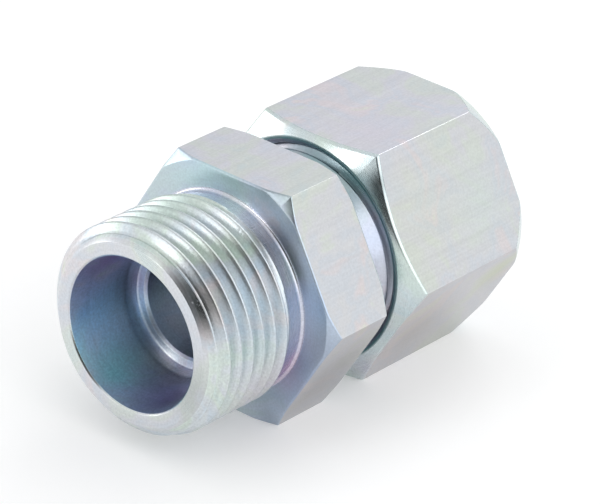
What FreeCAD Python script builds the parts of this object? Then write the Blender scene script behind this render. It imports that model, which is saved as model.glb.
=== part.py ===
import FreeCAD, Part
import Sketcher
import math
import os

# Driving dimensions in millimetres, along the tube axis or square to it
sizes = {
    # Thread M20 x 1.5, the same at both ends of the body
    "threadRadius": 10.0,
    "threadPitch": 1.5,
    "threadDepth": 0.9,
    "threadRootHalf": 0.12,
    "frontThreadLead": 1.12,
    "rearThreadLead": 1.54,
    "neckRadius": 9.3,
    "neckLength": 1.6,
    "neckBevel": 0.7,
    "neckFillet": 0.35,
    "endFaceRadius": 8.6,
    "leadChamfer": 1.3,
    # Hexagon of the body
    "acrossFlats": 23.0,
    "endLength": 12.2,
    "hexLength": 7.65,
    "hexFrontCircle": 12.1,
    "hexRearCircle": 12.0,
    # Bore of the body: 24 degree mouth, tube socket, stop shoulder, through hole
    "mouthRadius": 7.3,
    "mouthBreak": 0.15,
    "socketRadius": 6.05,
    "socketDepth": 7.5,
    "throughRadius": 5.0,
    "throughBreak": 0.25,
    # Union nut
    "nutGap": 3.45,
    "nutLength": 17.15,
    "nutFrontCircle": 10.9,
    "nutRearCircle": 11.75,
    "nutBoreRadius": 10.05,
    "nutBoreDepth": 11.9,
    "nutEntry": 0.55,
    "tubeHoleRadius": 6.2,
    "tubeHoleBreak": 0.4,
    # Cutting ring
    "ringTipRadius": 6.35,
    "ringNoseLength": 3.7,
    "ringCollarStart": 3.9,
    "ringCollarRadius": 8.2,
    "ringCollarLength": 3.0,
    "ringBackRadius": 6.9,
    "ringReliefRadius": 6.2,
    "ringReliefStart": 1.0,
    "ringReliefLength": 1.6,
    "ringPlay": 0.1,
    # Half angle of the conical mouths, and angles of the hexagon chamfers from the end faces
    "coneAngle": 12.0,
    "chamferAngle": 30.0,
    "nutRearAngle": 60.0,
}

doc = FreeCAD.newDocument("tube_coupling")
sheet = doc.addObject("Spreadsheet::Sheet", "sheet")
for row, (name, value) in enumerate(sizes.items(), start=1):
    sheet.set("A%d" % row, name)
    sheet.set("B%d" % row, str(value))
    sheet.setAlias("B%d" % row, name)
doc.recompute()

# Lengths that follow from the driving ones, as formulas on the sheet
flatHeight = "sheet.acrossFlats / 2"
cornerRadius = "sheet.acrossFlats / 2 / cos(30)"
outside = "sheet.acrossFlats"
bodyLength = "(2 * sheet.endLength + sheet.hexLength)"
nutStart = "(sheet.endLength + sheet.hexLength + sheet.nutGap)"
overall = "(" + nutStart + " + sheet.nutLength)"
threadEnd = "(sheet.endLength - sheet.neckLength - sheet.neckBevel)"
neckStart = "(sheet.endLength - sheet.neckLength)"
coneLength = "((sheet.mouthRadius - sheet.socketRadius) / tan(sheet.coneAngle) + sheet.mouthBreak)"
# Half width of the thread's groove where it meets the neck
grooveHalf = ("(sheet.threadRootHalf"
              " + (sheet.threadDepth + sheet.neckRadius - sheet.threadRadius) * tan(30))")
taperDrop = "(sheet.nutBoreRadius - sheet.tubeHoleRadius)"
ringNoseRadius = "(sheet.ringTipRadius + sheet.ringNoseLength * tan(sheet.coneAngle))"
ringCollarEnd = "(sheet.ringCollarStart + sheet.ringCollarLength)"
ringLength = "(" + ringCollarEnd + " + sheet.ringCollarRadius - sheet.ringBackRadius)"
# The ring's 45 degree back stands ringPlay before the nut's 45 degree taper
ringStart = ("(" + nutStart + " + sheet.nutBoreDepth + sheet.nutBoreRadius - sheet.ringPlay"
             " - sheet.ringBackRadius - " + ringLength + ")")


def originPlane(body, role):
    """A body's own origin plane, found by its role."""
    for feature in body.Origin.OriginFeatures:
        if feature.Role == role:
            return feature


def newSketch(body, name, role):
    sketch = body.newObject("Sketcher::SketchObject", name)
    sketch.AttachmentSupport = (originPlane(body, role), [""])
    sketch.MapMode = "FlatFace"
    return sketch


def placePoint(sketch, line, along, radius):
    """Hold the start of a line at (along, radius); None means on that axis."""
    if along is None:
        sketch.addConstraint(Sketcher.Constraint("PointOnObject", line, 1, -2))
    else:
        index = sketch.addConstraint(Sketcher.Constraint("DistanceX", -1, 1, line, 1, 10.0 + line))
        sketch.setExpression("Constraints[%d]" % index, along)
    if radius is None:
        sketch.addConstraint(Sketcher.Constraint("PointOnObject", line, 1, -1))
    else:
        index = sketch.addConstraint(Sketcher.Constraint("DistanceY", -1, 1, line, 1, 10.0 + line))
        sketch.setExpression("Constraints[%d]" % index, radius)


def addOutline(sketch, corners):
    """A closed run of straight lines through the corners."""
    first = sketch.GeometryCount
    count = len(corners)
    rough = []
    for index in range(count):
        turn = 2 * math.pi * index / count
        rough.append(FreeCAD.Vector(20 + 8 * math.cos(turn), 20 + 8 * math.sin(turn), 0))
    for index in range(count):
        sketch.addGeometry(Part.LineSegment(rough[index], rough[(index + 1) % count]), False)
    for index in range(count):
        after = first + (index + 1) % count
        sketch.addConstraint(Sketcher.Constraint("Coincident", first + index, 2, after, 1))
    for index, (along, radius) in enumerate(corners):
        placePoint(sketch, first + index, along, radius)


def turn(body, kind, name, outlines):
    """Revolve outlines about the tube axis: kind is Revolution or Groove."""
    sketch = newSketch(body, name + "Sketch", "XY_Plane")
    for corners in outlines:
        addOutline(sketch, corners)
    doc.recompute()
    feature = body.newObject("PartDesign::" + kind, name)
    feature.Profile = sketch
    feature.ReferenceAxis = (sketch, ["H_Axis"])
    feature.Angle = 360.0
    doc.recompute()
    return feature


def padHexagon(body, name, start, length):
    """Hexagon bar along the axis, one flat down."""
    sketch = newSketch(body, name + "Sketch", "YZ_Plane")
    sketch.setExpression("AttachmentOffset.Base.z", start)
    corners = []
    for index in range(6):
        corners.append(FreeCAD.Vector(13 * math.cos(math.radians(60 * index)),
                                      13 * math.sin(math.radians(60 * index)), 0))
    for index in range(6):
        sketch.addGeometry(Part.LineSegment(corners[index], corners[(index + 1) % 6]), False)
    circle = sketch.addGeometry(Part.Circle(FreeCAD.Vector(0, 0, 0), FreeCAD.Vector(0, 0, 1), 13), True)
    sketch.addConstraint(Sketcher.Constraint("Coincident", circle, 3, -1, 1))
    for index in range(6):
        sketch.addConstraint(Sketcher.Constraint("Coincident", index, 2, (index + 1) % 6, 1))
        sketch.addConstraint(Sketcher.Constraint("PointOnObject", index, 1, circle))
    for index in range(5):
        sketch.addConstraint(Sketcher.Constraint("Equal", index, index + 1))
    sketch.addConstraint(Sketcher.Constraint("PointOnObject", 0, 1, -1))
    radius = sketch.addConstraint(Sketcher.Constraint("Radius", circle, 13.0))
    sketch.setExpression("Constraints[%d]" % radius, cornerRadius)
    doc.recompute()
    pad = body.newObject("PartDesign::Pad", name)
    pad.Profile = sketch
    pad.setExpression("Length", length)
    doc.recompute()
    return pad


def cornerCut(start, circle, direction, angle="sheet.chamferAngle"):
    """Triangle that takes the hexagon's corners off outside a cone on an end face."""
    rise = "((" + outside + " - " + circle + ") * tan(" + angle + "))"
    return [(start, circle), (start, outside), (start + direction + rise, outside)]


def circleEdges(shape, radius, along):
    """Names of the full circles of one radius at one place on the axis."""
    names = []
    for index, edge in enumerate(shape.Edges, start=1):
        curve = edge.Curve
        if not isinstance(curve, Part.Circle):
            continue
        if abs(curve.Radius - radius) < 1e-4 and abs(curve.Center.x - along) < 1e-4:
            names.append("Edge%d" % index)
    return names


def cutThread(body, name, lead, rearward):
    """Right-hand 60 degree groove, from beyond an end face to where it meets the neck."""
    clear = 0.08
    root = "sheet.threadRadius - sheet.threadDepth"
    top = "sheet.threadRadius + %s" % clear
    half = "(sheet.threadRootHalf + (sheet.threadDepth + %s) * tan(30))" % clear
    start = "(" + bodyLength + " + " + lead + ")" if rearward else "(0 - " + lead + ")"
    sketch = newSketch(body, name + "Sketch", "XY_Plane")
    addOutline(sketch, [
        (start + " - sheet.threadRootHalf", root),
        (start + " + sheet.threadRootHalf", root),
        (start + " + " + half, top),
        (start + " - " + half, top),
    ])
    doc.recompute()
    groove = body.newObject("PartDesign::SubtractiveHelix", name)
    groove.Profile = sketch
    groove.ReferenceAxis = (sketch, ["H_Axis"])
    groove.Mode = "pitch-turns-angle"
    groove.setExpression("Pitch", "sheet.threadPitch")
    groove.setExpression("Turns", "(" + neckStart + " - " + grooveHalf + " + " + lead + ") / sheet.threadPitch")
    groove.Angle = 0
    groove.LeftHanded = False
    groove.Reversed = rearward
    doc.recompute()
    return groove


def setPlace(body, along):
    """Stand a body on the common axis, the whole part centred and lying on its flats."""
    body.setExpression("Placement.Base.x", along + " - " + overall + " / 2")
    body.setExpression("Placement.Base.z", flatHeight)


def newBody(label):
    body = doc.addObject("PartDesign::Body", label)
    body.Label = label
    doc.recompute()
    return body


def makeCouplingBody():
    """Turned from one hexagon bar: a threaded end, the hexagon, a threaded end."""
    body = newBody("coupling_body")
    ends = [
        (None, None),
        (None, "sheet.endFaceRadius"),
        ("sheet.leadChamfer", "sheet.threadRadius"),
        (threadEnd, "sheet.threadRadius"),
        (neckStart, "sheet.neckRadius"),
        (bodyLength + " - " + neckStart, "sheet.neckRadius"),
        (bodyLength + " - " + threadEnd, "sheet.threadRadius"),
        (bodyLength + " - sheet.leadChamfer", "sheet.threadRadius"),
        (bodyLength, "sheet.endFaceRadius"),
        (bodyLength, None),
    ]
    turn(body, "Revolution", "turnedEnds", [ends])
    padHexagon(body, "hexagon", "sheet.endLength", "sheet.hexLength")
    hexEnd = "(sheet.endLength + sheet.hexLength)"
    turn(body, "Groove", "hexCorners", [
        cornerCut("sheet.endLength", "sheet.hexFrontCircle", " + "),
        cornerCut(hexEnd, "sheet.hexRearCircle", " - "),
    ])
    bore = [
        (None, None),
        (None, "sheet.mouthRadius + sheet.mouthBreak"),
        ("sheet.mouthBreak", "sheet.mouthRadius"),
        (coneLength, "sheet.socketRadius"),
        ("sheet.socketDepth", "sheet.socketRadius"),
        ("sheet.socketDepth", "sheet.throughRadius + sheet.throughBreak"),
        ("sheet.socketDepth + sheet.throughBreak", "sheet.throughRadius"),
    ]
    rearBore = []
    for along, radius in reversed(bore):
        mirrored = bodyLength if along is None else bodyLength + " - (" + along + ")"
        rearBore.append((mirrored, radius))
    solidVolume = body.Shape.Volume
    bored = turn(body, "Groove", "bore", [bore + rearBore])
    if bored.Shape.Volume > 0.9 * solidVolume:
        raise RuntimeError("the bore cut nothing")
    hexFaces = [sizes["endLength"], sizes["endLength"] + sizes["hexLength"]]
    edges = []
    for along in hexFaces:
        edges += circleEdges(bored.Shape, sizes["neckRadius"], along)
    fillet = body.newObject("PartDesign::Fillet", "neckFillets")
    fillet.Base = (bored, edges)
    fillet.setExpression("Radius", "sheet.neckFillet")
    doc.recompute()
    for name, lead, rearward in (
        ("frontThread", "sheet.frontThreadLead", False),
        ("rearThread", "sheet.rearThreadLead", True),
    ):
        uncutVolume = body.Shape.Volume
        groove = cutThread(body, name, lead, rearward)
        if groove.Shape.Volume > 0.98 * uncutVolume:
            raise RuntimeError("%s cut nothing" % name)
    setPlace(body, "0")
    return body


def makeUnionNut():
    """Hexagon nut: threaded bore, 45 degree taper, tube hole in its back."""
    body = newBody("union_nut")
    padHexagon(body, "hexagon", "0", "sheet.nutLength")
    turn(body, "Groove", "hexCorners", [
        [(None, "sheet.nutFrontCircle"), (None, outside),
         ("(" + outside + " - sheet.nutFrontCircle) * tan(sheet.chamferAngle)", outside)],
        cornerCut("sheet.nutLength", "sheet.nutRearCircle", " - ", "sheet.nutRearAngle"),
    ])
    turn(body, "Groove", "bore", [[
        (None, None),
        (None, "sheet.nutBoreRadius + sheet.nutEntry"),
        ("sheet.nutEntry", "sheet.nutBoreRadius"),
        ("sheet.nutBoreDepth", "sheet.nutBoreRadius"),
        ("sheet.nutBoreDepth + " + taperDrop, "sheet.tubeHoleRadius"),
        ("sheet.nutLength - sheet.tubeHoleBreak", "sheet.tubeHoleRadius"),
        ("sheet.nutLength", "sheet.tubeHoleRadius + sheet.tubeHoleBreak"),
        ("sheet.nutLength", None),
    ]])
    setPlace(body, nutStart)
    return body


def makeCuttingRing():
    """Ring with a thin nose for the cone, a collar, and a 45 degree back for the nut."""
    body = newBody("cutting_ring")
    turn(body, "Revolution", "turnedRing", [[
        (None, "sheet.socketRadius"),
        (None, "sheet.ringTipRadius"),
        ("sheet.ringNoseLength", ringNoseRadius),
        ("sheet.ringCollarStart", ringNoseRadius),
        ("sheet.ringCollarStart", "sheet.ringCollarRadius"),
        (ringCollarEnd, "sheet.ringCollarRadius"),
        (ringLength, "sheet.ringBackRadius"),
        (ringLength, "sheet.socketRadius"),
    ]])
    turn(body, "Groove", "biteRelief", [[
        ("sheet.ringReliefStart", "sheet.throughRadius"),
        ("sheet.ringReliefStart", "sheet.ringReliefRadius"),
        ("sheet.ringReliefStart + sheet.ringReliefLength", "sheet.ringReliefRadius"),
        ("sheet.ringReliefStart + sheet.ringReliefLength", "sheet.throughRadius"),
    ]])
    setPlace(body, ringStart)
    return body


parts = [makeCouplingBody(), makeUnionNut(), makeCuttingRing()]
doc.recompute()

for item in doc.Objects:
    if "Invalid" in item.State or "Error" in item.State:
        raise RuntimeError("%s failed: %s" % (item.Name, item.State))
for body in parts:
    shape = body.Shape
    if shape.isNull() or not shape.isValid() or len(shape.Solids) != 1:
        raise RuntimeError("%s is not one valid solid" % body.Label)

os.makedirs("parts", exist_ok=True)
for body in parts:
    body.Shape.exportStep("parts/%s.step" % body.Label)
    box = body.Shape.optimalBoundingBox(False)
    print("%s %.1f mm3, x %.2f to %.2f, y %.2f to %.2f, z %.2f to %.2f" % (
        body.Label, body.Shape.Volume, box.XMin, box.XMax, box.YMin, box.YMax, box.ZMin, box.ZMax))
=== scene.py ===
import bmesh
import bpy
import math
from mathutils import Matrix, Vector


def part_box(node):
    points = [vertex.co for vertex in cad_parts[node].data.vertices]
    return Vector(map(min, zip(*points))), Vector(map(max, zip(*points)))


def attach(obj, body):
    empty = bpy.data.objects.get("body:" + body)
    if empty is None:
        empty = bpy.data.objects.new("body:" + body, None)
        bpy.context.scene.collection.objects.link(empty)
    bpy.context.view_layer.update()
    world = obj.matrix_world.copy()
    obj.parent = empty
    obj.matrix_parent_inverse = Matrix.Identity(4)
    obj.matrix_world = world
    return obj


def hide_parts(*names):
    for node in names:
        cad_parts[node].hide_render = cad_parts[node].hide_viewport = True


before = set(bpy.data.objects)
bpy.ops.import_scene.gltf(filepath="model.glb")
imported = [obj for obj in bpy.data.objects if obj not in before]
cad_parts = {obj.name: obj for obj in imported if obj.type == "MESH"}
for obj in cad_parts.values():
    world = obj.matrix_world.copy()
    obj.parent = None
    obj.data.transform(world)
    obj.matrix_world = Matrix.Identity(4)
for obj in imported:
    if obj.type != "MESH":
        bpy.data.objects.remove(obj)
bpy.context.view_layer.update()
print("frame loaded")

# The axis and the front face come from the frame; sizes are millimetres along the axis from that face
mm = 0.001
bodyLow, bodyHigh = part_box("coupling_body")
nutLow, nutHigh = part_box("union_nut")
frontEnd = bodyLow.x
axisHeight = (nutLow.z + nutHigh.z) / 2
bodyLength = (bodyHigh.x - bodyLow.x) / mm
nutStart = (nutLow.x - frontEnd) / mm
nutLength = (nutHigh.x - nutLow.x) / mm
acrossFlats = (nutHigh.z - nutLow.z) / mm

chamferAngle = math.radians(30)     # of the hexagon corners, from the end faces
rearAngle = math.radians(60)        # the same on the back of the nut
sectorColumns = 30      # columns of mesh in one sixth of a turn
columnCount = 6 * sectorColumns
sharpAngle = math.radians(40)       # edges that turn more than this stay sharp
weldDistance = 0.0005 * mm

# Thread M20 x 1.5; widths are shares of the pitch, counted from the middle of a crest
thread = {
    "radius": 10.0,
    "pitch": 1.5,
    "depth": 0.9,
    "crestHalf": 0.0737,
    "rootHalf": 0.08,
    "blend": 0.05,
    "frontCrest": 1.13,     # place of a crest at angle zero, front and rear
    "rearCrest": 22.34,
    "rows": (-0.5, -0.45, -0.4, -0.3, -0.2, -0.11, -0.075, -0.04,
             0.0, 0.04, 0.075, 0.11, 0.2, 0.3, 0.4, 0.45),
    "nutRows": (-0.5, -0.4, -0.3, -0.2, -0.1, 0.0, 0.1, 0.2, 0.3, 0.4),
}


def rampArea(share):
    # Area under the flank's straight slope, from crest to root
    start = thread["crestHalf"]
    end = 0.5 - thread["rootHalf"]
    if share <= start:
        return 0.0
    if share >= end:
        return share - (start + end) / 2
    return (share - start) ** 2 / (2 * (end - start))


def threadDrop(turns):
    # How far the thread lies below its crest, with crest and root edges rounded
    share = abs(turns - round(turns))
    blend = thread["blend"]
    return thread["depth"] * (rampArea(share + blend) - rampArea(share - blend)) / (2 * blend)


def smoothStep(value, start, end):
    share = min(1.0, max(0.0, (value - start) / (end - start)))
    return share * share * (3 - 2 * share)


def columnAngle(column):
    return 2 * math.pi * column / columnCount


def circleRow(along, radius):
    return [(along, radius, columnAngle(column)) for column in range(columnCount + 1)]


def helixRows(crestPlace, start, end, shares, radiusAt):
    # Rows that follow the helix, held at both ends of the thread
    pitch = thread["pitch"]
    firstTurn = math.floor((start - crestPlace) / pitch) - 1
    lastTurn = math.ceil((end - crestPlace) / pitch) + 1
    rows = []
    for turn in range(firstTurn, lastTurn + 1):
        for share in shares:
            row = []
            for column in range(columnCount + 1):
                angle = columnAngle(column)
                along = crestPlace + pitch * (turn + share + column / columnCount)
                along = min(end, max(start, along))
                turns = (along - crestPlace) / pitch - column / columnCount
                row.append((along, radiusAt(along, turns), angle))
            rows.append(row)
    return rows


def softLine(corners, softness, steps=3):
    # A run of straight lines in (along, radius) with its inner corners rounded; a corner may give
    # its own softness
    longestCut = 0.45       # share of a side that one corner may take
    points = [corners[0]]
    for before, corner, after in zip(corners, corners[1:], corners[2:]):
        here = Vector(corner[:2])
        back = Vector(before[:2]) - here
        ahead = Vector(after[:2]) - here
        turn = math.pi - back.angle(ahead)
        wanted = corner[2] if len(corner) > 2 else softness
        cut = min(wanted * math.tan(turn / 2), longestCut * back.length, longestCut * ahead.length)
        radius = cut / math.tan(turn / 2)
        backward = back.normalized()
        forward = ahead.normalized()
        middle = (backward + forward).normalized()
        centre = here + middle * (radius / math.cos(turn / 2))
        first = here + backward * cut - centre
        last = here + forward * cut - centre
        for step in range(steps + 1):
            share = step / steps
            spoke = (first * math.sin((1 - share) * turn) + last * math.sin(share * turn)) / math.sin(turn)
            points.append(tuple(centre + spoke))
    points.append(corners[-1])
    return points


def hexagonOutline(flatDistance, cornerSoftness):
    # Angle and radius of the bar's outline at each column, corners at the sides
    straight = (flatDistance - cornerSoftness) * math.tan(math.pi / 6)
    cornerCentre = (flatDistance - cornerSoftness) / math.cos(math.pi / 6)
    arcColumns = 3
    flatColumns = sectorColumns - 2 * arcColumns
    outline = []
    for column in range(columnCount + 1):
        sector, place = divmod(column + arcColumns, sectorColumns)
        middle = math.radians(60 * sector)
        if place <= 2 * arcColumns:
            lean = math.radians(30) * (place - arcColumns) / arcColumns
            across = cornerSoftness * math.sin(lean)
            out = cornerCentre + cornerSoftness * math.cos(lean)
            angle = middle + math.atan2(across, out)
            radius = math.hypot(across, out)
        else:
            share = (place - 2 * arcColumns) / flatColumns
            across = straight * (2 * share - 1)
            angle = middle + math.radians(30) + math.atan2(across, flatDistance)
            radius = math.hypot(across, flatDistance)
        outline.append((angle, radius))
    return outline


def hexagonEnd(outline, circle, face, inward, softness, steps, angle=chamferAngle):
    # Rows from the flats over the corner chamfer to the end face, edges rounded
    slope = math.tan(angle)
    slant = softness / math.cos(angle)
    lastRow = 2 * steps + 1
    rows = [[] for step in range(lastRow + 1)]
    for turn, radius in outline:
        flatCentre = (max(softness, (radius - softness - circle) * slope + slant), radius - softness)
        faceCentre = (softness, min(radius - softness, circle + (softness - slant) / slope))
        for step in range(lastRow + 1):
            if step <= steps:
                centre = flatCentre
                lean = math.radians(90) + (math.radians(90) - angle) * step / steps
            else:
                centre = faceCentre
                lean = math.pi - angle * (lastRow - step) / steps
            depth = centre[0] + softness * math.cos(lean)
            rows[step].append((face + inward * depth, centre[1] + softness * math.sin(lean), turn))
    return rows


def blendRows(circle, rim, count):
    # Rows across an end face, from the round neck to the hexagon's rim
    rows = []
    for step in range(1, count):
        share = step / count
        row = []
        for inner, outer in zip(circle, rim):
            row.append(tuple(a + (b - a) * share for a, b in zip(inner, outer)))
        rows.append(row)
    return rows


# Finish of each flat, from the left corner round over the top; each took the film in its own way, and the
# two low flats take a darker copy, painted shade
flatFinishes = ("flatTop", "flatTop", "flatSide", "flatLowShaded", "flatLowShaded", "flatTop")


def latheMesh(name, parts, finishes):
    # parts is a closed run of (rows, finish name); the rows are joined one after another
    mesh = bmesh.new()
    rows = []
    bands = []
    for partRows, finish in parts:
        for row in partRows:
            verts = []
            for along, radius, angle in row:
                verts.append(mesh.verts.new((
                    frontEnd + along * mm,
                    radius * mm * math.cos(angle),
                    axisHeight + radius * mm * math.sin(angle),
                )))
            rows.append(verts)
            bands.append(finish)
    finishNames = list(finishes)
    for index, row in enumerate(rows):
        after = rows[(index + 1) % len(rows)]
        for column in range(columnCount):
            face = mesh.faces.new((row[column], after[column], after[column + 1], row[column + 1]))
            finish = bands[index]
            if finish == "flat":
                finish = flatFinishes[column // sectorColumns]
            face.material_index = finishNames.index(finish)
            face.smooth = True
    bmesh.ops.remove_doubles(mesh, verts=mesh.verts, dist=weldDistance)
    bmesh.ops.recalc_face_normals(mesh, faces=mesh.faces)
    data = bpy.data.meshes.new(name)
    mesh.to_mesh(data)
    mesh.free()
    data.set_sharp_from_angle(angle=sharpAngle)
    piece = bpy.data.objects.new(name, data)
    bpy.context.scene.collection.objects.link(piece)
    for finish in finishNames:
        data.materials.append(finishes[finish])
    weighted = piece.modifiers.new("evenNormals", "WEIGHTED_NORMAL")
    weighted.keep_sharp = True
    return piece


def addNode(tree, kind, inputs, **settings):
    # A shader node with its settings; each input is a value or another node's output
    made = tree.nodes.new(kind)
    for setting, value in settings.items():
        setattr(made, setting, value)
    for socket, value in inputs.items():
        if isinstance(value, bpy.types.NodeSocket):
            tree.links.new(value, made.inputs[socket])
        else:
            made.inputs[socket].default_value = value
    return made


def mathNode(tree, operation, first, second):
    return addNode(tree, "ShaderNodeMath", {0: first, 1: second}, operation=operation).outputs[0]


def vectorNode(tree, operation, inputs, output="Vector"):
    return addNode(tree, "ShaderNodeVectorMath", inputs, operation=operation).outputs[output]


def noiseNode(tree, vector, scale, detail, distortion=0.0):
    inputs = {"Vector": vector, "Scale": scale, "Detail": detail, "Distortion": distortion}
    return addNode(tree, "ShaderNodeTexNoise", inputs).outputs["Fac"]


def rangeNode(tree, value, start, end, low, high, kind="SMOOTHSTEP"):
    inputs = {"Value": value, "From Min": start, "From Max": end, "To Min": low, "To Max": high}
    return addNode(tree, "ShaderNodeMapRange", inputs, interpolation_type=kind).outputs["Result"]


def mixNode(tree, share, first, second):
    inputs = {"Factor": share, "A": first, "B": second}
    return addNode(tree, "ShaderNodeMix", inputs, data_type="RGBA").outputs["Result"]


# Colours of the thin film on the zinc, from one end of the drift to the other
filmTints = (
    (0.0, (0.56, 0.72, 0.70)),
    (0.3, (0.67, 0.75, 0.66)),
    (0.5, (0.68, 0.69, 0.76)),
    (0.65, (0.60, 0.66, 0.78)),
    (0.85, (0.78, 0.66, 0.70)),
    (1.0, (0.74, 0.74, 0.60)),
)

# Zinc by finish. Marks run along the axis on the drawn flats and round it where it was turned. Bumps
# are in millimetres; marks, speckle and film are shares of the colour
zincLooks = {
    "flatTop": {"name": "drawnTopFlat", "drawn": True, "color": (0.68, 0.68, 0.7), "roughness": 0.34,
                "speckle": 0.07, "marks": 0.05, "markBump": 0.0008, "grainBump": 0.0016, "film": 0.4},
    "flatSide": {"name": "drawnSideFlat", "drawn": True, "color": (0.69, 0.7, 0.69), "roughness": 0.34,
                 "speckle": 0.07, "marks": 0.05, "markBump": 0.0008, "grainBump": 0.0016, "film": 0.4},
    # Painted shade: a darker copy of the drawn zinc for the two flats that face down
    "flatLowShaded": {"name": "drawnLowFlatPaintedShade", "drawn": True, "color": (0.53, 0.52, 0.52), "roughness": 0.36,
                "speckle": 0.07, "marks": 0.04, "markBump": 0.0006, "grainBump": 0.0016, "film": 0.25},
    "face": {"name": "turnedFace", "drawn": False, "color": (0.66, 0.68, 0.69), "roughness": 0.3,
             "speckle": 0.1, "marks": 0.05, "markBump": 0.0014, "grainBump": 0.0016, "film": 0.35},
    "hexFace": {"name": "turnedHexFace", "drawn": False, "color": (0.46, 0.56, 0.65), "roughness": 0.34,
                "speckle": 0.1, "marks": 0.05, "markBump": 0.0012, "grainBump": 0.0014, "film": 0.35},
    # Painted shade: dark teal for the hexagon's back face and the nut's first thread row, in the gap between
    # the parts
    "gapPaintedShade": {"name": "turnedGapFacePaintedShade", "drawn": False, "color": (0.2, 0.36, 0.38), "roughness": 0.36,
            "speckle": 0.1, "marks": 0.05, "markBump": 0.0014, "grainBump": 0.0014, "film": 0.2},
    # Painted shade: a darker copy of the turned zinc for the rear neck and thread, which lie in the gap
    # between the hexagon and the nut
    "rearEndPaintedShade": {"name": "cutRearThreadPaintedShade", "drawn": False, "color": (0.48, 0.49, 0.55), "roughness": 0.3,
                "speckle": 0.1, "marks": 0.06, "markBump": 0.0016, "grainBump": 0.002, "film": 0.3},
    "chamfer": {"name": "turnedChamfer", "drawn": False, "color": (0.62, 0.72, 0.7), "roughness": 0.26,
                "speckle": 0.08, "marks": 0.05, "markBump": 0.001, "grainBump": 0.001, "film": 0.3},
    "thread": {"name": "cutThread", "drawn": False, "color": (0.65, 0.72, 0.71), "roughness": 0.33,
               "speckle": 0.13, "marks": 0.12, "markBump": 0.003, "grainBump": 0.012, "film": 0.5},
    "neck": {"name": "turnedNeck", "drawn": False, "color": (0.58, 0.6, 0.7), "roughness": 0.26,
             "speckle": 0.12, "marks": 0.05, "markBump": 0.0016, "grainBump": 0.002, "film": 0.35},
    "bore": {"name": "turnedBore", "drawn": False, "color": (0.46, 0.59, 0.72), "roughness": 0.38,
             "speckle": 0.16, "marks": 0.08, "markBump": 0.0022, "grainBump": 0.003, "film": 0.45},
    "ring": {"name": "turnedRing", "drawn": False, "color": (0.66, 0.66, 0.64), "roughness": 0.24,
             "speckle": 0.06, "marks": 0.1, "markBump": 0.0024, "grainBump": 0.001, "film": 0.2},
}
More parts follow.
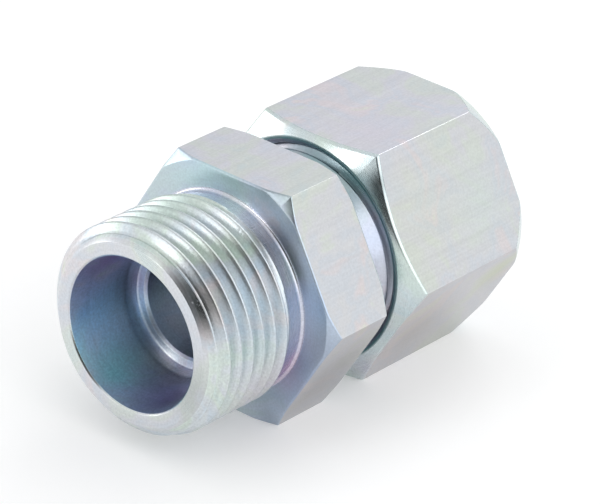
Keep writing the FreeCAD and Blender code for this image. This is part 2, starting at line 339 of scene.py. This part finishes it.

# Patches of colour on every finish whose name starts with "on": place in millimetres (along,
# to the left, above the axis), how far it reaches, colour and share; gloss comes off the roughness. Most are
# stronger tints of the film; the painted highlights, painted shade and painted reflections among them are
# marked one by one
tintAndPaintedLightPatches = (
    {"on": "flat", "place": (28.0, -9.0, 6.0), "reach": 9.0, "color": (0.68, 0.72, 0.63), "share": 0.6},
    {"on": "flat", "place": (35.5, -10.5, 4.5), "reach": 7.0, "color": (0.66, 0.74, 0.72), "share": 0.6},
    {"on": "flat", "place": (28.0, -3.0, 11.5), "reach": 8.0, "color": (0.70, 0.66, 0.74), "share": 0.6},
    # Painted highlight: a white glint on the nut's right flat
    {"on": "flatSide", "place": (34.65, -9.44, 6.64), "reach": 0.5, "color": (1.0, 1.0, 1.0), "share": 1.0},
    # Painted shade on the low flats, darker still under the bar and the nut, with an olive painted
    # reflection of the shadowed floor on the nut
    {"on": "flatLowShaded", "place": (28.0, -9.5, -6.5), "reach": 8.0, "color": (0.45, 0.42, 0.41), "share": 0.7},
    {"on": "flatLowShaded", "place": (37.5, -11.5, -3.0), "reach": 4.5, "color": (0.52, 0.55, 0.40), "share": 0.8},
    {"on": "flatLowShaded", "place": (15.5, -9.5, -7.0), "reach": 9.0, "color": (0.38, 0.37, 0.38), "share": 0.9},
    {"on": "hexFace", "place": (12.2, -9.3, -5.5), "reach": 9.0, "color": (0.29, 0.35, 0.52), "share": 0.9},
    {"on": "hexFace", "place": (12.2, -11.0, 2.5), "reach": 5.0, "color": (0.42, 0.55, 0.76), "share": 0.7},
    {"on": "hexFace", "place": (12.2, 2.5, 10.6), "reach": 7.0, "color": (0.54, 0.73, 0.78), "share": 0.8},
    {"on": "hexFace", "place": (12.2, -7.6, -5.0), "reach": 3.6, "color": (0.58, 0.44, 0.62), "share": 0.8},
    # Painted shade: dark over the hexagon's top right corner chamfer, where the overhead lamp's highlight
    # falls
    {"on": "hexFace", "place": (12.3, -4.6, 11.4), "reach": 3.4, "color": (0.28, 0.33, 0.35), "share": 1.0},
    {"on": "hexFace", "place": (12.5, -6.2, -10.6), "reach": 3.4, "color": (0.32, 0.38, 0.46), "share": 0.8},
    {"on": "hexFace", "place": (12.5, -12.4, -1.0), "reach": 3.4, "color": (0.36, 0.42, 0.53), "share": 0.8},
    # Painted reflection: a near-black wedge on the nut's front chamfer
    {"on": "chamfer", "place": (23.9, -7.5, 9.2), "reach": 2.4, "color": (0.08, 0.10, 0.10), "share": 1.0},
    {"on": "chamfer", "place": (24.0, -11.6, -3.5), "reach": 6.0, "color": (0.44, 0.54, 0.57), "share": 0.8},
    {"on": "chamfer", "place": (24.0, -7.6, -9.6), "reach": 4.5, "color": (0.52, 0.49, 0.58), "share": 0.8},
    {"on": "neck", "place": (11.4, -7.8, -4.8), "reach": 7.0, "color": (0.72, 0.54, 0.70), "share": 0.8},
    # Painted highlight: near white on the top of the neck
    {"on": "neck", "place": (11.0, -4.2, 8.3), "reach": 5.0, "color": (0.95, 0.95, 1.0), "share": 0.9},
    {"on": "thread", "place": (8.0, -8.5, -5.0), "reach": 7.0, "color": (0.66, 0.58, 0.66), "share": 0.6},
    # Painted reflection: dark on the lead chamfer and first turn, made glossier
    {"on": "thread", "place": (0.8, -7.6, 5.4), "reach": 4.6, "color": (0.26, 0.28, 0.27), "share": 0.9,
     "gloss": 0.12},
    # Partly a greenish tint of the film, partly painted shade: darker on the thread's top where the left
    # lamps fall
    {"on": "thread", "place": (5.4, 2.4, 9.8), "reach": 8.0, "color": (0.47, 0.57, 0.54), "share": 0.8},
    {"on": "thread", "place": (7.0, -9.6, 2.6), "reach": 8.0, "color": (0.56, 0.66, 0.72), "share": 0.7},
    # Painted highlight: pale lilac on the end of the thread by the neck
    {"on": "thread", "place": (10.0, -3.6, 8.6), "reach": 3.4, "color": (0.80, 0.84, 0.94), "share": 0.8},
    # Darker towards the lower right of the end face
    {"on": "face", "place": (0.0, -7.2, -2.5), "reach": 6.0, "color": (0.42, 0.45, 0.45), "share": 0.7},
    {"on": "bore", "place": (2.3, 5.4, 4.8), "reach": 8.0, "color": (0.58, 0.30, 0.66), "share": 0.9},
    {"on": "bore", "place": (3.6, 6.4, -1.6), "reach": 7.0, "color": (0.36, 0.70, 1.0), "share": 0.9},
    {"on": "bore", "place": (2.0, 3.4, -5.8), "reach": 5.5, "color": (0.30, 0.78, 0.78), "share": 0.9},
    {"on": "bore", "place": (3.0, -2.6, -6.2), "reach": 6.0, "color": (0.48, 0.36, 0.60), "share": 0.9},
    # Painted highlights: a white crescent on the stop shoulder and a pale streak on the socket wall
    {"on": "bore", "place": (7.5, 1.8, -5.6), "reach": 3.6, "color": (1.0, 1.0, 1.0), "share": 1.0},
    {"on": "bore", "place": (6.6, -0.8, -6.4), "reach": 3.4, "color": (1.0, 0.90, 0.98), "share": 0.9},
    {"on": "bore", "place": (5.4, 5.6, -2.4), "reach": 4.6, "color": (0.62, 0.80, 1.0), "share": 0.8},
    {"on": "bore", "place": (7.6, 5.6, 0.6), "reach": 3.6, "color": (0.50, 0.44, 0.58), "share": 0.9},
    {"on": "bore", "place": (11.5, 3.2, -3.0), "reach": 6.5, "color": (0.78, 0.80, 0.90), "share": 0.9},
    # Painted shade in the gap: dark teal over the top of the rear end, a dimmed lilac where a lamp's
    # highlight falls, darker below
    {"on": "rearEndPaintedShade", "place": (22.0, -1.0, 9.6), "reach": 9.5, "color": (0.22, 0.36, 0.38), "share": 0.95},
    {"on": "rearEndPaintedShade", "place": (22.4, -8.6, 4.6), "reach": 5.5, "color": (0.44, 0.50, 0.62), "share": 0.9},
    {"on": "rearEndPaintedShade", "place": (22.4, -9.7, -2.2), "reach": 5.0, "color": (0.30, 0.31, 0.38), "share": 0.9},
    # A lighter teal within the painted shade of the gap
    {"on": "gapPaintedShade", "place": (23.5, -4.0, 8.2), "reach": 4.0, "color": (0.36, 0.50, 0.52), "share": 0.8},
)


# What all the finishes share. Scales are waves a millimetre, spans the part of the noise that counts
zincPattern = {
    "drawnMarks": (0.05, 5.0, 5.0),
    "turnedMarks": 5.0,
    "markDetail": 3.0,
    "grain": 4.5,
    "grainDetail": 2.0,
    "drift": 0.16,
    "driftDetail": 3.0,
    "driftSwirl": 0.8,
    "scratchTurn": (0.5, 0.3, 0.2),
    "scratchLines": (0.22, 6.0, 6.0),
    "scratchSpan": (0.70, 0.76),
    "filmSpan": (0.28, 0.72),
    "toneSpan": (0.25, 0.75),
    "glossSpan": (0.2, 0.8),
    "speckleLift": 0.6,     # how much lighter for each share darker
    "patchCore": 0.35,      # shares of a patch's reach
    "patchEdge": 1.5,
    "markGloss": 0.05,      # on the roughness
    "driftGloss": (-0.03, 0.04),
    "scratchGloss": 0.12,
    "scratchDepth": 0.002,
}


def filmColor(tree, drift):
    # The film's colour drifts slowly over the piece
    ramp = tree.nodes.new("ShaderNodeValToRGB")
    ramp.color_ramp.interpolation = "EASE"
    elements = ramp.color_ramp.elements
    while len(elements) < len(filmTints):
        elements.new(0.5)
    for element, (position, color) in zip(elements, filmTints):
        element.position = position
        element.color = (*color, 1)
    tree.links.new(rangeNode(tree, drift, *zincPattern["filmSpan"], 0.0, 1.0, "LINEAR"), ramp.inputs["Fac"])
    return ramp.outputs["Color"]


def makeZinc(finish):
    look = zincLooks[finish]
    pattern = zincPattern
    material = bpy.data.materials.new(look["name"])
    material.use_nodes = True
    tree = material.node_tree
    shader = tree.nodes["Principled BSDF"]

    # Place in millimetres from the front face and the axis
    coordinates = tree.nodes.new("ShaderNodeTexCoord").outputs["Object"]
    shifted = vectorNode(tree, "SUBTRACT", {0: coordinates, 1: (frontEnd, 0.0, axisHeight)})
    place = vectorNode(tree, "SCALE", {0: shifted, "Scale": 1 / mm})
    across = vectorNode(tree, "MULTIPLY", {0: place, 1: (0.0, 1.0, 1.0)})
    radius = vectorNode(tree, "LENGTH", {0: across}, "Value")
    along = addNode(tree, "ShaderNodeSeparateXYZ", {0: place}).outputs["X"]

    # Tool marks, grain, slow drift of the film, and a few scratches
    if look["drawn"]:
        lay = vectorNode(tree, "MULTIPLY", {0: place, 1: pattern["drawnMarks"]})
    else:
        turned = addNode(tree, "ShaderNodeCombineXYZ", {"X": along, "Y": radius}).outputs[0]
        lay = vectorNode(tree, "SCALE", {0: turned, "Scale": pattern["turnedMarks"]})
    marks = noiseNode(tree, lay, 1.0, pattern["markDetail"])
    grain = noiseNode(tree, place, pattern["grain"], pattern["grainDetail"])
    drift = noiseNode(tree, place, pattern["drift"], pattern["driftDetail"], pattern["driftSwirl"])
    inputs = {"Vector": place, "Rotation": pattern["scratchTurn"], "Scale": pattern["scratchLines"]}
    slanted = addNode(tree, "ShaderNodeMapping", inputs).outputs[0]
    scratches = rangeNode(tree, noiseNode(tree, slanted, 1.0, 1.0), *pattern["scratchSpan"], 0.0, 1.0)

    # Colour: the zinc under its film, then the patches of tint and of painted highlight, shade and
    # reflection, then marks and grain
    color = mixNode(tree, look["film"], (*look["color"], 1), filmColor(tree, drift))
    gloss = 0.0
    for patch in tintAndPaintedLightPatches:
        if not finish.startswith(patch["on"]):
            continue
        reach = patch["reach"]
        distance = vectorNode(tree, "DISTANCE", {0: place, 1: patch["place"]}, "Value")
        ragged = mathNode(tree, "ADD", distance, mathNode(tree, "MULTIPLY_ADD", drift, reach))
        core = pattern["patchCore"] * reach
        edge = pattern["patchEdge"] * reach
        cover = rangeNode(tree, ragged, core, edge, patch["share"], 0.0)
        color = mixNode(tree, cover, color, (*patch["color"], 1))
        if "gloss" in patch:
            gloss = mathNode(tree, "MULTIPLY", cover, patch["gloss"])
    low, high = 1.0 - look["marks"], 1.0 + look["marks"] / 2
    shade = rangeNode(tree, marks, *pattern["toneSpan"], low, high, "LINEAR")
    low, high = 1.0 - look["speckle"], 1.0 + pattern["speckleLift"] * look["speckle"]
    speckle = rangeNode(tree, grain, *pattern["toneSpan"], low, high, "LINEAR")
    tone = mathNode(tree, "MULTIPLY", shade, speckle)
    color = vectorNode(tree, "SCALE", {0: color, "Scale": tone})

    # Gloss
    low, high = look["roughness"] - pattern["markGloss"], look["roughness"] + pattern["markGloss"]
    rough = rangeNode(tree, marks, *pattern["glossSpan"], low, high, "LINEAR")
    cloudy = rangeNode(tree, drift, *pattern["glossSpan"], *pattern["driftGloss"], "LINEAR")
    rough = mathNode(tree, "ADD", rough, cloudy)
    rough = mathNode(tree, "ADD", rough, mathNode(tree, "MULTIPLY", scratches, pattern["scratchGloss"]))
    rough = mathNode(tree, "SUBTRACT", rough, gloss)

    # Relief
    relief = mathNode(tree, "MULTIPLY", marks, look["markBump"])
    relief = mathNode(tree, "ADD", relief, mathNode(tree, "MULTIPLY", grain, look["grainBump"]))
    scratchRelief = mathNode(tree, "MULTIPLY", scratches, pattern["scratchDepth"])
    relief = mathNode(tree, "SUBTRACT", relief, scratchRelief)
    bump = addNode(tree, "ShaderNodeBump", {"Strength": 1.0, "Distance": mm, "Height": relief}).outputs[0]
    tree.links.new(color, shader.inputs["Base Color"])
    tree.links.new(rough, shader.inputs["Roughness"])
    tree.links.new(bump, shader.inputs["Normal"])
    shader.inputs["Metallic"].default_value = 1.0
    return material


# Coupling body: front threaded end, hexagon, rear threaded end, bore
body = {
    "endFaceRadius": 8.6,
    "leadChamfer": 1.3,
    "threadEnd": 9.9,
    "frontRunOut": 0.2,     # the crest begins to fall so much before the thread's end
    "rearRunOut": 1.5,
    "grooveLead": 0.1,      # and its grooves begin to fade so much earlier, over this length
    "grooveFade": 1.0,
    "neckStart": 10.6,
    "neckOverrun": 0.05,
    "neckRadius": 9.3,
    "neckFillet": 0.35,
    "hexStart": 12.2,
    "hexEnd": 19.85,
    "frontCircle": 12.1,
    "rearCircle": 12.0,
    "cornerSoftness": 0.06,
    "edgeSoftness": 0.2,
    "edgeSteps": 3,
    "faceRings": 4,
    "mouthRadius": 7.3,
    "mouthBreak": 0.15,
    "coneEnd": 6.03,
    "coneSoftness": 2.5,
    "socketRadius": 6.05,
    "socketDepth": 7.5,
    "throughRadius": 5.0,
    "throughBreak": 0.25,
    "stopFillet": 0.2,
    "turnedSoftness": 0.07,
    "rimSoftness": 0.105,
}


def threadEnvelope(depth, runOut):
    # Largest radius of a threaded end at a depth from its face
    lead = body["endFaceRadius"] + depth * (thread["radius"] - body["endFaceRadius"]) / body["leadChamfer"]
    fall = smoothStep(depth, body["threadEnd"] - runOut, body["neckStart"] + body["neckOverrun"])
    bevel = thread["radius"] - fall * (thread["radius"] - body["neckRadius"])
    return min(lead, bevel)


def endRadius(depth, turns, runOut):
    # Radius of a threaded end with its grooves cut
    outer = threadEnvelope(depth, runOut)
    cut = max(0.0, outer - (thread["radius"] - threadDrop(turns)))
    fadeStart = body["threadEnd"] - body["grooveLead"] - runOut
    fade = 1 - smoothStep(depth, fadeStart, fadeStart + body["grooveFade"])
    return outer - fade * cut


def neckLine():
    # From the end of the thread along the neck and up the fillet, to the hexagon's face
    fillet = body["neckFillet"]
    steps = 6
    points = [(body["neckStart"], body["neckRadius"])]
    for step in range(steps + 1):
        turn = math.pi / 2 * step / steps
        points.append((body["hexStart"] - fillet + fillet * math.sin(turn),
                       body["neckRadius"] + fillet * (1 - math.cos(turn))))
    return points


def boreLine():
    # Half of the bore, from the front face inwards to the middle
    corners = [
        (0.0, (body["mouthRadius"] + body["endFaceRadius"]) / 2),
        (0.0, body["mouthRadius"] + body["mouthBreak"]),
        (body["mouthBreak"], body["mouthRadius"]),
        (body["coneEnd"], body["socketRadius"], body["coneSoftness"]),
        (body["socketDepth"], body["socketRadius"], body["stopFillet"]),
        (body["socketDepth"], body["throughRadius"] + body["throughBreak"]),
        (body["socketDepth"] + body["throughBreak"], body["throughRadius"]),
        (bodyLength / 2, body["throughRadius"]),
    ]
    return softLine(corners, body["turnedSoftness"])


def mirrored(points):
    return [(bodyLength - along, radius) for along, radius in reversed(points)]


def makeBody(finishes):
    # The end face goes on over the rim, a quarter of the way up the lead chamfer
    faceEnd = body["leadChamfer"] / 4
    faceLine = softLine([
        (0.0, (body["mouthRadius"] + body["endFaceRadius"]) / 2),
        (0.0, body["endFaceRadius"]),
        (faceEnd, threadEnvelope(faceEnd, body["frontRunOut"])),
    ], body["rimSoftness"])
    threadStart = faceLine[-1][0]
    outline = hexagonOutline(acrossFlats / 2, body["cornerSoftness"])
    frontRows = helixRows(
        thread["frontCrest"], threadStart, body["neckStart"], thread["rows"],
        lambda along, turns: endRadius(along, turns, body["frontRunOut"]))
    rearRows = helixRows(
        thread["rearCrest"], bodyLength - body["neckStart"], bodyLength - threadStart, thread["rows"],
        lambda along, turns: endRadius(bodyLength - along, turns, body["rearRunOut"]))
    softness = body["edgeSoftness"]
    steps = body["edgeSteps"]
    frontEdge = hexagonEnd(outline, body["frontCircle"], body["hexStart"], 1, softness, steps)
    frontEdge.reverse()
    rearEdge = hexagonEnd(outline, body["rearCircle"], body["hexEnd"], -1, softness, steps)
    frontNeck = [circleRow(*point) for point in neckLine()]
    rearNeck = [circleRow(*point) for point in mirrored(neckLine())]
    rearBore = [circleRow(bodyLength - along, radius) for along, radius in boreLine()]
    frontBore = [circleRow(*point) for point in boreLine()[::-1]]
    mouthRows = 5       # rows of the bore that lie on the end face
    parts = [
        ([circleRow(*point) for point in faceLine], "face"),
        (frontRows, "thread"),
        (frontNeck[:-1], "neck"),
        (frontNeck[-1:] + blendRows(frontNeck[-1], frontEdge[0], body["faceRings"]), "hexFace"),
        (frontEdge[:-1], "hexFace"),
        (frontEdge[-1:], "flat"),
        (rearEdge[:-1], "chamfer"),
        # The hexagon's back face and the rear neck and thread take painted shade, for the gap between the
        # hexagon and the nut
        (rearEdge[-1:] + blendRows(rearEdge[-1], rearNeck[0], body["faceRings"]), "gapPaintedShade"),
        (rearNeck, "rearEndPaintedShade"),
        (rearRows, "rearEndPaintedShade"),
        ([circleRow(*point) for point in mirrored(faceLine)], "face"),
        (rearBore[:mouthRows], "face"),
        (rearBore[mouthRows:], "bore"),
        (frontBore[:-mouthRows - 1], "bore"),
        (frontBore[-mouthRows - 1:], "face"),
    ]
    piece = latheMesh("body_of_coupling", parts, finishes)
    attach(piece, "coupling_body")
    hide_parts("coupling_body")


# Union nut: hexagon outside, thread, taper and tube hole inside
nut = {
    "frontCircle": 10.9,
    "rearCircle": 11.75,
    "cornerSoftness": 0.12,
    "frontSoftness": 0.45,
    "rearSoftness": 0.3,
    "edgeSteps": 5,
    "faceRings": 3,
    "boreRadius": 10.05,
    "boreDepth": 11.9,
    "entry": 0.55,
    "plainEntry": 1.6,
    "minorRadius": 9.2,
    "threadPlay": 0.06,
    "threadOverrun": 0.05,
    "tubeHoleRadius": 6.2,
    "tubeHoleBreak": 0.4,
    "turnedSoftness": 0.08,
}


def nutRadius(along, turns):
    # Inner radius of the nut: entry cone and plain start, thread grooves and crests, then the taper
    depth = along - nutStart
    grooved = max(nut["minorRadius"], thread["radius"] + nut["threadPlay"] - threadDrop(turns))
    entry = nut["boreRadius"] + max(nut["entry"] - depth, min(0.0, nut["plainEntry"] - depth))
    taper = nut["boreRadius"] + nut["boreDepth"] - depth
    return min(max(grooved, entry), taper)


def makeNut(finishes):
    nutEnd = nutStart + nutLength
    outline = hexagonOutline(acrossFlats / 2, nut["cornerSoftness"])
    steps = nut["edgeSteps"]
    frontEdge = hexagonEnd(outline, nut["frontCircle"], nutStart, 1, nut["frontSoftness"], steps)
    frontEdge.reverse()
    rearEdge = hexagonEnd(outline, nut["rearCircle"], nutEnd, -1, nut["rearSoftness"], steps, rearAngle)
    threadEnd = nutStart + nut["boreDepth"] + nut["boreRadius"] - nut["minorRadius"] + nut["threadOverrun"]
    threadRows = helixRows(thread["rearCrest"], nutStart, threadEnd, thread["nutRows"], nutRadius)
    threadRows.reverse()
    boreEnd = nutRadius(threadEnd, 0.5)
    hole = softLine([
        (nutEnd, (nut["tubeHoleRadius"] + nut["rearCircle"]) / 2),
        (nutEnd, nut["tubeHoleRadius"] + nut["tubeHoleBreak"]),
        (nutEnd - nut["tubeHoleBreak"], nut["tubeHoleRadius"]),
        (threadEnd + boreEnd - nut["tubeHoleRadius"], nut["tubeHoleRadius"]),
        (threadEnd, boreEnd),
    ], nut["turnedSoftness"])
    holeRows = [circleRow(*point) for point in hole]
    rimRows = 4         # rows of the hole that lie on the end face
    parts = [
        (frontEdge[:-1], "chamfer"),
        (frontEdge[-1:], "flat"),
        (rearEdge[:-1], "chamfer"),
        (rearEdge[-1:] + blendRows(rearEdge[-1], holeRows[0], nut["faceRings"]), "face"),
        (holeRows[:rimRows], "face"),
        (holeRows[rimRows:], "bore"),
        (threadRows[:-1], "bore"),
        # The nut's first thread row takes the painted shade of the gap
        (threadRows[-1:], "gapPaintedShade"),
    ]
    piece = latheMesh("hexagon_union_nut", parts, finishes)
    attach(piece, "union_nut")
    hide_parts("union_nut")


finishes = {finish: makeZinc(finish) for finish in zincLooks}
makeBody(finishes)
print("body made")
makeNut(finishes)
print("nut made")

# The cutting ring keeps its solid and only takes its finish
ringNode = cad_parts["cutting_ring"]
ringNode.data.materials.clear()
ringNode.data.materials.append(finishes["ring"])
print("ring dressed")


# Camera at the photograph's angle
shot = {
    "place": (-0.247654, -0.202731, 0.179753),
    "lookAt": (0.0, -0.00205, 0.01316),
    "roll": -3.482,
    "lens": 240.0,
    "sensorWidth": 36.0,
    "clipStart": 0.01,
    "clipEnd": 20.0,
}


def makeCamera():
    data = bpy.data.cameras.new("camera")
    data.lens = shot["lens"]
    data.sensor_width = shot["sensorWidth"]
    data.clip_start = shot["clipStart"]
    data.clip_end = shot["clipEnd"]
    camera = bpy.data.objects.new("camera", data)
    bpy.context.scene.collection.objects.link(camera)
    place = Vector(shot["place"])
    aim = (Vector(shot["lookAt"]) - place).to_track_quat("-Z", "Y").to_matrix().to_4x4()
    lean = Matrix.Rotation(math.radians(-shot["roll"]), 4, "Z")
    camera.matrix_world = Matrix.Translation(place) @ aim @ lean
    bpy.context.scene.camera = camera


makeCamera()

# Soft boxes: place in metres, width and height in metres, power in watts
softBoxes = {
    "overhead": {"place": (0.427, 0.081, 0.455), "size": (0.34, 0.13), "power": 0.42},
    "rightSide": {"place": (-0.07, -0.53, 0.29), "size": (0.72, 0.52), "power": 1.0},
    "leftSide": {"place": (-0.535, 0.143, 0.248), "size": (0.13, 0.18), "power": 0.26},
    "farLeft": {"place": (-0.27, 0.53, 0.075), "size": (0.2, 0.2), "power": 0.32},
}


def makeSoftBoxes():
    middle = Vector((0.0, 0.0, axisHeight))
    for name, box in softBoxes.items():
        data = bpy.data.lights.new(name, "AREA")
        data.shape = "RECTANGLE"
        data.size, data.size_y = box["size"]
        data.energy = box["power"]
        lamp = bpy.data.objects.new(name, data)
        bpy.context.scene.collection.objects.link(lamp)
        place = Vector(box["place"])
        aim = (middle - place).to_track_quat("-Z", "Y").to_matrix().to_4x4()
        lamp.matrix_world = Matrix.Translation(place) @ aim


# Studio round the object: white all over, greyer at the back and dark on the camera's side
studio = {
    "wall": (0.93, 0.935, 0.94),
    "dimSide": (0.0, 0.002, 0.002),
    "dimToward": (-0.82, -0.41, 0.38),
    "dimStart": 0.81,
    "dimFull": 0.93,
    "backWall": (0.79, 0.80, 0.82),
    "backToward": (0.70, 0.66, 0.28),
    "backStart": 0.7,
    "backFull": 0.95,
    "floor": (0.82, 0.82, 0.82),
    "floorRoughness": 0.9,
    "floorSpecular": 0.1,
    "floorGlow": 0.24,
    "floorSize": 6.0,
}


def makeWorld():
    world = bpy.data.worlds.new("studio")
    bpy.context.scene.world = world
    world.use_nodes = True
    tree = world.node_tree
    direction = tree.nodes.new("ShaderNodeTexCoord").outputs["Generated"]
    walls = (*studio["wall"], 1)
    for side, color in (("back", studio["backWall"]), ("dim", studio["dimSide"])):
        inputs = {0: direction, 1: Vector(studio[side + "Toward"]).normalized()}
        toward = vectorNode(tree, "DOT_PRODUCT", inputs, "Value")
        share = rangeNode(tree, toward, studio[side + "Start"], studio[side + "Full"], 0.0, 1.0)
        walls = mixNode(tree, share, walls, (*color, 1))
    tree.links.new(walls, tree.nodes["Background"].inputs["Color"])


def makeFloor():
    half = studio["floorSize"] / 2
    corners = [(-half, -half, 0), (half, -half, 0), (half, half, 0), (-half, half, 0)]
    data = bpy.data.meshes.new("floor")
    data.from_pydata(corners, [], [(0, 1, 2, 3)])
    floor = bpy.data.objects.new("floor", data)
    bpy.context.scene.collection.objects.link(floor)
    material = bpy.data.materials.new("paleFloor")
    material.use_nodes = True
    tree = material.node_tree
    shader = tree.nodes["Principled BSDF"]
    shader.inputs["Base Color"].default_value = (*studio["floor"], 1)
    shader.inputs["Roughness"].default_value = studio["floorRoughness"]
    shader.inputs["Specular IOR Level"].default_value = studio["floorSpecular"]
    shader.inputs["Emission Color"].default_value = (1, 1, 1, 1)
    # The floor shows white to the camera and in the metal, and keeps the shadow
    path = tree.nodes.new("ShaderNodeLightPath")
    seen = mathNode(tree, "ADD", path.outputs["Is Camera Ray"], path.outputs["Is Glossy Ray"])
    seen = mathNode(tree, "ADD", seen, path.outputs["Is Transmission Ray"])
    glow = mathNode(tree, "MULTIPLY", seen, studio["floorGlow"])
    tree.links.new(glow, shader.inputs["Emission Strength"])
    data.materials.append(material)


makeSoftBoxes()
makeWorld()
makeFloor()
bpy.context.scene.view_settings.view_transform = "Standard"
print("camera, lights and floor made")
